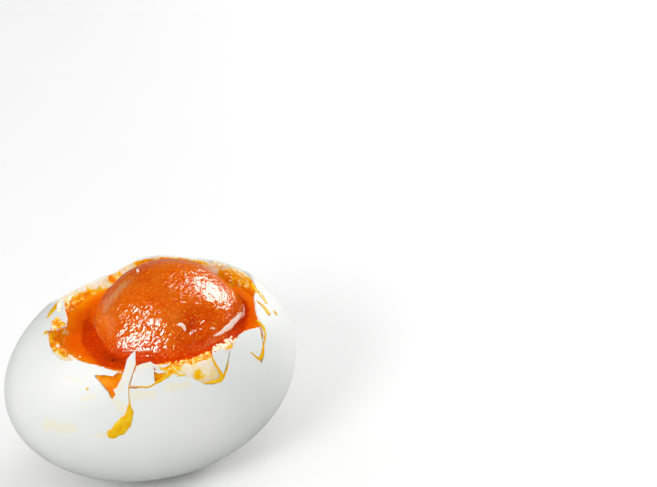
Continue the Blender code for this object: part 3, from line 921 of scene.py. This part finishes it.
# Oil in the cracks and on the shell: points about the egg's centre with the width there, then how thick it lies
oilStrokes = {
    "drip": (((-10.3, -18.3, 7.9, 0.5), (-10.4, -18.9, 6.3, 1.6), (-11.3, -19.1, 4.7, 2.6), (-12.8, -18.9, 3.2, 2.8),
              (-14.0, -18.6, 2.2, 2.2), (-14.7, -18.4, 1.5, 1.6)), 0.32),
    "crackDown": (((-9.6, -16.8, 11.1, 0.5), (-10.1, -17.5, 9.7, 0.45), (-10.2, -18.1, 8.4, 0.6),
                   (-10.2, -18.6, 7.2, 0.9)), 0.1),
    "crackAcross": (((-9.6, -16.8, 11.1, 0.4), (-8.1, -17.4, 10.9, 0.4), (-6.2, -18.1, 10.7, 0.5),
                     (-5.1, -18.1, 11.0, 0.45), (-4.2, -18.1, 11.3, 0.6), (-2.6, -18.0, 11.8, 0.6)), 0.17),
    "crackUp": (((-9.6, -16.8, 11.1, 0.4), (-9.1, -16.3, 12.1, 0.3), (-8.3, -15.7, 13.3, 0.3),
                 (-7.4, -14.9, 14.5, 0.3)), 0.04),
    "crackLeft": (((-12.8, -16.8, 9.1, 0.5), (-12.4, -17.5, 8.0, 0.6), (-11.4, -18.4, 6.8, 0.6),
                   (-10.7, -18.9, 6.3, 0.5)), 0.02),
    "forkFoot": (((4.3, -19.6, 9.2, 0.3), (5.9, -19.5, 9.0, 0.6), (7.4, -19.4, 8.8, 0.9), (8.2, -19.1, 9.2, 1.0)),
                 0.14),
    "forkLeft": (((8.2, -19.1, 9.1, 0.9), (7.8, -18.5, 10.5, 0.6), (7.2, -17.8, 11.8, 0.5), (6.8, -17.2, 12.8, 0.3)),
                 0.1),
    "forkRight": (((8.2, -19.2, 8.9, 0.5), (8.8, -18.7, 9.7, 0.4), (9.5, -18.2, 10.4, 0.35), (9.8, -17.6, 11.2, 0.3)),
                  0.06),
    "rightCrack": (((18.3, -10.8, 14.0, 0.4), (18.9, -11.2, 13.2, 0.6), (19.4, -11.7, 12.4, 0.9),
                    (19.4, -12.5, 11.4, 0.5), (18.4, -14.2, 10.4, 0.45), (17.6, -15.5, 9.2, 0.9),
                    (17.0, -16.1, 8.7, 0.9)), 0.14),
    "rightMark": (((15.0, -15.9, 10.8, 0.25), (16.1, -16.2, 9.4, 0.45), (17.1, -16.1, 8.5, 0.9)), 0.1),
    "sideFirst": (((21.4, -3.5, 15.3, 0.5), (21.8, -4.9, 14.6, 1.3), (22.2, -6.4, 13.6, 0.6)), 0.2),
    "sideSecond": (((20.0, -6.7, 15.4, 0.4), (21.0, -7.4, 14.1, 0.8), (21.7, -8.2, 13.1, 1.2),
                    (22.0, -8.7, 12.5, 0.9)), 0.2),
    "sideDrop": (((23.3, -6.9, 12.2, 0.8), (23.9, -7.5, 11.1, 0.7)), 0.18),
    "sideEdge": (((20.7, -1.6, 15.9, 0.6), (21.0, -2.8, 15.7, 1.0), (20.9, -4.6, 15.4, 0.6)), 0.16),
    "leaf": (((-15.9, 6.8, 16.2, 0.5), (-17.4, 5.1, 16.0, 2.2), (-19.0, 3.7, 15.4, 0.4)), 0.14),
    "leftDrop": (((-20.2, 0.6, 15.0, 1.1), (-20.5, -0.3, 14.7, 0.8)), 0.14),
    "dot": (((-16.95, -13.65, 10.5, 0.5), (-16.5, -13.95, 10.2, 0.5)), 0.14),
    "thinLine": (((-19.2, -10.6, 11.6, 0.15), (-18.4, -11.4, 11.6, 0.2), (-17.3, -12.6, 11.3, 0.15)), 0.03),
    "frontLine": (((-0.6, -18.3, 11.6, 0.3), (0.2, -18.4, 11.6, 0.45), (1.0, -18.5, 11.5, 0.3)), 0.06),
}


# Slivers of shell in the torn edge right of the square flake, given in the same way
shellSlivers = {
    "sliverLow": (((-4.6, -16.7, 13.0, 0.2), (-3.7, -17.2, 12.8, 0.75), (-2.4, -17.5, 12.6, 0.15)), 0.1),
    "sliverHigh": (((-4.6, -16.2, 13.8, 0.15), (-3.9, -16.7, 13.4, 0.6), (-3.3, -17.0, 13.0, 0.15)), 0.1),
    "sliverRight": (((-3.3, -16.7, 13.5, 0.15), (-2.4, -16.8, 13.5, 0.6), (-1.3, -16.8, 13.7, 0.15)), 0.1),
}


def onTear(points):
    return onShell(points, -0.15)


# Pale threads and specks on the yolk, given in the same way; the streak, its tip, the curl and the line are painted
# highlights, white strips laid where the yolk shines
threadsAndPaintedHighlights = {
    "streak": (((9.5, -10.8, 12.7, 0.3), (11.0, -10.3, 12.6, 0.8), (13.1, -9.0, 12.5, 1.25), (14.9, -7.4, 12.4, 1.2),
                (16.7, -5.5, 11.8, 1.3), (17.8, -4.1, 10.7, 0.6)), 0.3),
    "streakTip": (((16.9, -5.4, 11.6, 0.8), (17.6, -4.4, 11.1, 0.8), (18.3, -3.2, 11.2, 0.6),
                   (18.4, -2.4, 12.0, 0.2)), 0.25),
    "curl": (((2.9, -9.4, 16.4, 0.6), (3.7, -9.5, 16.4, 0.8), (4.1, -9.9, 15.9, 0.8), (4.2, -10.4, 15.2, 0.5)), 0.25),
    "line": (((-7.2, -6.7, 11.5, 0.15), (-5.0, -8.6, 12.2, 0.38), (-2.7, -10.0, 12.5, 0.2)), 0.12),
    "speckLeft": (((6.1, -10.6, 14.8, 0.3), (6.7, -10.5, 14.8, 0.3)), 0.1),
    "speckMiddle": (((7.4, -10.3, 14.9, 0.35), (7.8, -10.4, 14.6, 0.3)), 0.1),
    "speckRight": (((9.3, -10.1, 14.2, 0.3), (9.8, -10.0, 14.0, 0.4), (10.1, -10.1, 13.7, 0.3)), 0.1),
    "speckBack": (((0.3, 6.4, 19.8, 0.5), (-0.1, 4.7, 20.4, 0.6)), 0.1),
}


def onYolk(yolk):
    # gives a function that lays points on the yolk's surface
    tree = surfaceTree(yolk)
    lift = Vector((0, 0, eggLift))
    middle = Vector(yolkForm["centre"])

    def lay(points):
        laid = []
        for point in points:
            hit = tree.ray_cast((middle + lift) * mm, Vector(point) - middle)[0]
            laid.append(hit / mm - lift)
        return np.array(laid)

    return lay


strokeForm = {
    "stepsBetween": 16,  # from one stop to the next
    "stepsMore": 12,
    "stepsAcross": 12,
    "ahead": 0.3,
    "waver": 0.28,
    "waverSize": 1.3,
    "sunk": 0.04,
    "skin": 0.06,
    "mergedWithin": 0.0005,
}


def laidStroke(name, stops, thick, lay):
    # a grid laid along the stops, domed across and rounded off at both ends
    form = strokeForm
    lengthSteps = form["stepsBetween"] * (len(stops) - 1) + form["stepsMore"]
    bpy.ops.mesh.primitive_grid_add(x_subdivisions=lengthSteps, y_subdivisions=form["stepsAcross"], size=2.0)
    obj = named(name)
    flat = verts(obj)
    stops = np.array(stops)
    run = np.concatenate([[0], np.cumsum(np.linalg.norm(np.diff(stops[:, :3], axis=0), axis=1))])
    at = (flat[:, 0] + 1) / 2 * run[-1]

    def along(places):
        return np.column_stack([np.interp(places, run, column) for column in stops.T])

    path = along(at)
    ahead = along(at + form["ahead"]) - along(at - form["ahead"])
    outward = path[:, :3] / np.linalg.norm(path[:, :3], axis=1, keepdims=True)
    side = np.cross(outward, ahead[:, :3])
    side /= np.linalg.norm(side, axis=1, keepdims=True)
    half = path[:, 3] / 2
    fromEnd = np.minimum(at, run[-1] - at) / np.maximum(half, 0.05)
    taper = np.sqrt(np.clip(1 - np.clip(1 - fromEnd, 0, 1) ** 2, 0, 1))
    wobble = 1 + form["waver"] * grain(path[:, :3] + side * flat[:, 1:2], form["waverSize"], 2, shift=3.0)
    points = path[:, :3] + side * (flat[:, 1] * half * taper * wobble)[:, None]
    dome = np.sqrt(np.clip(1 - flat[:, 1] ** 2, 0, 1)) * taper
    setVerts(obj, lay(points) + outward * (thick * dome - form["sunk"])[:, None])
    applied(obj, "SOLIDIFY", thickness=form["skin"] * mm, offset=-1.0)
    return obj


def makeStrokes(name, strokes, material, lay):
    print(name)
    laid = [laidStroke(key, stops, thick, lay) for key, (stops, thick) in strokes.items()]
    obj = joined(laid, name)
    inEditMode(lambda: bpy.ops.mesh.remove_doubles(threshold=strokeForm["mergedWithin"] * mm))
    finishSmooth(obj, material, None)


# Crumbs of white and yolk where the white was torn
crumbForm = {
    # heading, distance out, how far they spread each way, how many, smallest and largest in mm, how white
    "clusters": (
        (242, 14.9, 4, 0.8, 46, 0.40, 1.00, 0.35),
        (256, 14.3, 7, 0.7, 60, 0.40, 1.00, 0.30),
        (270, 14.4, 8, 0.6, 70, 0.40, 1.00, 0.30),
        (285, 14.6, 8, 0.6, 70, 0.40, 1.00, 0.35),
        (263, 15.3, 12, 0.5, 24, 0.40, 1.00, 0.85),
        (300, 14.9, 5, 0.7, 60, 0.35, 0.90, 0.95),
        (308, 15.6, 5, 0.8, 60, 0.35, 0.90, 0.95),
        (314, 16.6, 3, 0.5, 16, 0.35, 0.80, 0.85),
        (320, 17.6, 8, 0.6, 20, 0.30, 0.70, 0.40),
        (188, 20.7, 5, 0.4, 9, 0.90, 1.70, 0.60),
        (198, 20.2, 4, 0.5, 12, 0.80, 1.60, 0.95),
        (206, 19.2, 4, 0.5, 10, 0.70, 1.40, 0.90),
        (200, 19.2, 9, 0.6, 20, 0.30, 0.70, 0.50),
        (219, 18.1, 3, 0.5, 14, 0.40, 1.10, 0.85),
        (166, 18.6, 5, 0.6, 10, 0.60, 1.30, 0.85),
        (142, 18.4, 9, 0.6, 12, 0.50, 1.20, 0.60),
        (20, 18.9, 12, 0.7, 12, 0.40, 0.90, 0.75),
        (223, 17.4, 3, 0.4, 22, 0.35, 0.80, 0.80),
        (252, 16.2, 4, 0.5, 12, 0.50, 1.20, 0.95),
        (191, 20.9, 5, 0.5, 10, 0.40, 0.90, 0.25),
        (205, 19.9, 5, 0.5, 12, 0.40, 0.90, 0.25),
        (180, 19.9, 4, 0.9, 44, 0.50, 1.20, 0.22),
        (185, 20.6, 3, 0.8, 30, 0.50, 1.10, 0.30),
    ),
    "seed": 4,
    "scatter": 0.55,  # of the spreads above
    "mostlySmall": 1.7,
    "bumpy": 0.35,
    "raised": 0.08,  # of its size
    "whiteSpread": 0.22,
    "overShell": 0.1,
}


def makeCrumbs(material, grounds):
    print("crumbs")
    form = crumbForm
    trees = [surfaceTree(ground) for ground in grounds]
    chance = np.random.default_rng(form["seed"])
    bpy.ops.object.select_all(action="DESELECT")
    bpy.ops.mesh.primitive_ico_sphere_add(subdivisions=2, radius=1.0)
    pattern = named("crumbPattern")
    ball = verts(pattern)
    made = []
    for heading, out, spreadTurn, spreadOut, count, least, most, white in form["clusters"]:
        for _ in range(count):
            turn = math.radians(heading + chance.normal() * spreadTurn * form["scatter"])
            reach = out + chance.normal() * spreadOut * form["scatter"]
            x, y = eggForm["openingX"] + reach * math.cos(turn), reach * math.sin(turn)
            above = Vector((x, y, 40)) * mm
            hits = [tree.ray_cast(above, Vector((0, 0, -1)))[0] for tree in trees]
            top = max((hit for hit in hits if hit), key=lambda hit: hit.z, default=None)
            size = least + (most - least) * chance.random() ** form["mostlySmall"]
            if top is None or top.z > (eggLift + float(heightOnEgg(x, y)) + form["overShell"]) * mm:
                continue
            crumb = pattern.copy()
            crumb.data = pattern.data.copy()
            bpy.context.collection.objects.link(crumb)
            squash = np.array((1, 0.5 + 0.5 * chance.random(), 0.4 + 0.3 * chance.random()))
            spin = np.array(Matrix.Rotation(chance.random() * 6.3, 3, "Z"))  # any way round
            co = ball * (size * 0.5 * mm) * squash @ spin
            bumpy = grain(co / mm + chance.random() * 50, size * 0.6, 2)
            co = co * (1 + form["bumpy"] * bumpy)[:, None] + np.array(top) + (0, 0, size * form["raised"] * mm)
            crumb.data.vertices.foreach_set("co", co.ravel())
            whiteness = np.clip(white + chance.normal() * form["whiteSpread"], 0, 1)
            setAttribute(crumb, "white", np.full(len(co), whiteness))
            made.append(crumb)
    bpy.data.objects.remove(pattern)
    finishSmooth(joined(made, "tornCrumbs"), material, None)


oilTones = {
    "thin": srgb(242, 184, 22),
    "amber": srgb(244, 150, 10),
    "orange": srgb(242, 122, 6),
}

# pale smears of oil on the shell, in millimetres about the egg's centre: both ends and their widths
shellSmears = (
    ((-24.4, -11.4, 2.2), (-20.5, -14.9, 2.8), 2.2, 1.6),
    ((-9.1, -18.0, 9.5), (-5.6, -18.9, 9.5), 1.6, 1.2),
    ((-2.7, -19.0, 10.1), (1.0, -19.4, 9.9), 1.5, 1.1),
    ((-17.5, -16.9, 1.6), (-14.9, -18.2, 2.1), 0.5, 0.9),
    ((-19.6, -10.1, 11.6), (-17.3, -12.6, 11.3), 0.35, 0.35),
    ((-12.8, -16.9, 9.0), (-10.9, -18.8, 6.4), 1.2, 2.0),
    ((-17.6, -14.3, 8.8), (-15.6, -15.2, 9.3), 1.0, 0.8),
    ((-12.0, -16.8, 10.0), (-8.2, -14.6, 14.1), 1.3, 1.0),
    ((-7.6, -15.6, 13.8), (-4.8, -15.8, 14.0), 0.9, 0.9),
)


def shellPaint():
    paint = Paint(
        "eggshell", Roughness=0.45, Specular_IOR_Level=0.3, Subsurface_Weight=0.1, Subsurface_Scale=0.002,
        Subsurface_Radius=(1.0, 0.9, 0.8),
    )
    broad = paint.clouds(14.0, 3.0)
    fine = paint.clouds(0.5, 2.0)
    colour = paint.blend((0.76, 0.785, 0.755, 1), (0.80, 0.81, 0.785, 1), broad.ramped(0.35, 0.65))
    colour = paint.blend(colour, (0.73, 0.75, 0.70, 1), fine.ramped(0.62, 0.85) * 0.3)
    # painted shade: the shell's colour turns darker and greyer towards the bottom, standing in for the shade under the
    # egg
    height = paint.node("ShaderNodeSeparateXYZ", None, {0: paint.place}, out="Z")
    colour = paint.blend(srgb(196, 199, 192), colour, height.ramped(0.001, 0.024))
    waver = (paint.clouds(1.8, 4.0) - 0.5) * 2.4
    smear = None
    for start, end, startWidth, endWidth in shellSmears:
        start, end = [(Vector(p) + Vector((0, 0, eggLift))) * mm for p in (start, end)]
        mask = paint.stroke(start, end, startWidth, endWidth, 0.9, waver)
        smear = mask if smear is None else smear.biggest(mask)
    colour = paint.blend(colour, srgb(238, 226, 176), smear * 0.4)
    return paint.finish(Base_Color=colour, Normal=paint.bump(paint.clouds(0.35, 2.0), 0.1, 0.05))


def whitePaint():
    # painted light: the white glows faintly in its own colour, lifting it where it lies in shade
    paint = Paint(
        "cookedWhite", Specular_IOR_Level=0.05, Subsurface_Weight=0.25, Subsurface_Scale=0.002,
        Subsurface_Radius=(1.0, 0.6, 0.3), Emission_Strength=0.03,
    )
    showing = paint.attribute("bare") + (paint.clouds(0.6, 4.0, 0.6) - 0.5) * 0.35
    colour = paint.colourRamp(
        showing,
        (
            (0.0, oilTones["orange"]), (0.28, oilTones["amber"]), (0.42, oilTones["thin"]),
            (0.50, srgb(240, 198, 80)), (0.60, srgb(236, 220, 182)), (0.85, srgb(238, 228, 214)),
        ),
    )
    stained = paint.clouds(2.6, 3.0).ramped(0.48, 0.72) * 0.5
    colour = paint.blend(colour, srgb(240, 208, 124), stained * showing.ramped(0.5, 0.7))
    return paint.finish(
        Base_Color=colour,
        Emission_Color=colour,
        Roughness=showing.ramped(0.35, 0.7, 0.2, 0.4),
        Normal=paint.bump(paint.clouds(0.35, 3.0), 0.35, 0.12),
    )


def yolkPaint():
    paint = Paint(
        "curedYolk", IOR=1.6, Specular_IOR_Level=0.85, Subsurface_Weight=0.1, Subsurface_Scale=0.002,
        Subsurface_Radius=(1.0, 0.35, 0.08),
    )
    broad = paint.clouds(5.0, 4.0, 0.6)
    grains = paint.cells(0.5)
    specks = paint.clouds(0.42, 3.0, 0.6)
    # the wrinkles are drawn out along one direction, by squeezing the place that their noise reads
    drawnOut = Vector((0.79, 0.30, 0.46)).normalized()
    along = paint.vectorMaths("DOT_PRODUCT", paint.place, tuple(drawnOut), out=1)
    half = paint.vectorMaths("SCALE", tuple(drawnOut * 0.5), scale=along)
    squeezed = paint.vectorMaths("SUBTRACT", paint.place, half)
    wrinkle = paint.clouds(1.1, 1.0, 0.45, 0.6, squeezed) + paint.clouds(0.5, 1.0, 0.5, 0.5, squeezed) * 0.35
    colour = paint.colourRamp(
        broad, ((0.3, srgb(228, 84, 2)), (0.5, srgb(234, 102, 5)), (0.7, srgb(236, 114, 12)))
    )
    # deep red: partly the yolk's mottling, partly painted shade in its dimple and along its foot
    deep = (paint.attribute("deep") + (broad - 0.5) * 0.4).clamped()
    pale = (paint.attribute("pale") + (broad - 0.5) * 0.5).clamped()
    colour = paint.blend(colour, srgb(216, 58, 1), deep)
    colour = paint.blend(colour, srgb(234, 130, 34), pale * 0.8)
    colour = paint.blend(colour, srgb(200, 54, 1), grains.ramped(0.3, 0.7) * 0.25)
    colour = paint.blend(colour, srgb(212, 60, 1), paint.clouds(1.3, 3.0, 0.6).ramped(0.52, 0.72) * 0.4)
    colour = paint.blend(colour, srgb(248, 178, 60), specks.ramped(0.57, 0.68) * 0.65)
    # painted reflection and highlight: pale peach streaks along the yolk's left edges
    paintedSheen = paint.attribute("paintedSheen") * specks.ramped(0.3, 0.6, 0.3, 1.0)
    colour = paint.blend(colour, srgb(224, 168, 112), paintedSheen * 0.75)
    return paint.finish(
        Base_Color=colour,
        Roughness=broad.ramped(0.3, 0.8, 0.06, 0.1),
        Normal=paint.bump((wrinkle + grains * 0.06) * (1.0 - paint.attribute("calm")), 1.0, 0.36),
    )


def oilPaint():
    # painted light: the oil glows in its own colour, lifting it where the shell shades it
    paint = Paint(
        "yolkOil", Specular_IOR_Level=0.5, Roughness=0.07, Subsurface_Weight=0.1, Subsurface_Scale=0.002,
        Subsurface_Radius=(1.0, 0.35, 0.05), Emission_Strength=0.1,
    )
    depth = paint.attribute("oilDepth") + (paint.clouds(2.2, 3.0) - 0.5) * 0.7
    colour = paint.colourRamp(
        depth,
        (
            (0.0, srgb(248, 144, 9)), (0.25, srgb(247, 128, 7)), (0.6, srgb(245, 114, 5)),
            (1.0, srgb(240, 100, 4)),
        ),
    )
    # dark grains of yolk, and painted shade along the yolk's foot
    siltAndShade = paint.attribute("siltAndShade") + (paint.clouds(1.6, 4.0, 0.6) - 0.5) * 0.7
    grains = paint.cells(0.85)
    dark = (grains.ramped(0.1, 0.7) + paint.clouds(0.9, 3.0, 0.6)) * 0.6
    siltAndShadeColour = paint.blend(srgb(222, 76, 3), srgb(200, 54, 3), dark)
    colour = paint.blend(colour, siltAndShadeColour, siltAndShade.ramped(0.3, 0.75))
    colour = paint.blend(colour, srgb(158, 40, 3), siltAndShade.ramped(1.0, 1.7) * 0.85)
    colour = paint.blend(colour, srgb(60, 20, 6), siltAndShade.ramped(1.9, 2.5) * 0.8)
    height = paint.clouds(1.2, 3.0) + grains * siltAndShade.ramped(0.4, 0.9) * 0.8
    return paint.finish(Base_Color=colour, Emission_Color=colour, Normal=paint.bump(height, 0.4, 0.2))


def crumbPaint():
    # painted light: the crumbs glow in their own colour, lifting them out of shade
    paint = Paint(
        "tornCrumbs", Specular_IOR_Level=0.5, Subsurface_Weight=0.2, Subsurface_Scale=0.001,
        Subsurface_Radius=(1.0, 0.6, 0.3), Emission_Strength=0.22,
    )
    white = paint.attribute("white") + (paint.clouds(0.5, 3.0) - 0.5) * 0.5
    colour = paint.colourRamp(
        white,
        (
            (0.1, srgb(244, 136, 10)), (0.35, srgb(248, 182, 34)), (0.6, srgb(250, 220, 130)),
            (0.9, srgb(250, 236, 212)),
        ),
    )
    return paint.finish(
        Base_Color=colour,
        Emission_Color=colour,
        Roughness=white.ramped(0.2, 0.9, 0.14, 0.32),
        Normal=paint.bump(paint.clouds(0.25), 0.3, 0.08),
    )


def threadAndHighlightPaint():
    # painted highlight: these pale strips on the yolk also glow in their own colour
    paint = Paint(
        "paleThreadsAndHighlights", Roughness=0.3, Specular_IOR_Level=0.3, Subsurface_Weight=0.2, Subsurface_Scale=0.001,
        Subsurface_Radius=(1.0, 0.6, 0.4), Emission_Strength=0.12,
    )
    tone = paint.clouds(0.8, 3.0)
    colour = paint.colourRamp(
        tone, ((0.3, srgb(238, 190, 150)), (0.5, srgb(244, 224, 208)), (0.7, srgb(248, 236, 228)))
    )
    return paint.finish(Base_Color=colour, Emission_Color=colour, Normal=paint.bump(paint.clouds(0.5, 3.0), 0.4, 0.12))


def drippedOilPaint():
    paint = Paint(
        "drippedOil", Specular_IOR_Level=0.3, Roughness=0.12, Subsurface_Weight=0.1, Subsurface_Scale=0.001,
        Subsurface_Radius=(1.0, 0.5, 0.05),
    )
    tone = paint.clouds(1.6, 3.0)
    colour = paint.colourRamp(
        tone, ((0.35, srgb(243, 196, 40)), (0.55, srgb(240, 178, 14)), (0.75, srgb(238, 150, 6)))
    )
    return paint.finish(Base_Color=colour, Normal=paint.bump(paint.clouds(0.8, 3.0), 0.4, 0.15))


makeStudio()
shellMaterial = shellPaint()
shell = makeShell(shellMaterial)
makeFlakes(shellMaterial)
white = makeWhite(whitePaint())
yolk = makeYolk(yolkPaint())
oil = makeOil(oilPaint())
makeStrokes("oilOnShell", oilStrokes, drippedOilPaint(), onShell)
makeStrokes("shellSlivers", shellSlivers, shellMaterial, onTear)
makeStrokes("threadsAndHighlightsOnYolk", threadsAndPaintedHighlights, threadAndHighlightPaint(), onYolk(yolk))
makeCrumbs(crumbPaint(), (white, oil, shell))

bpy.context.view_layer.update()
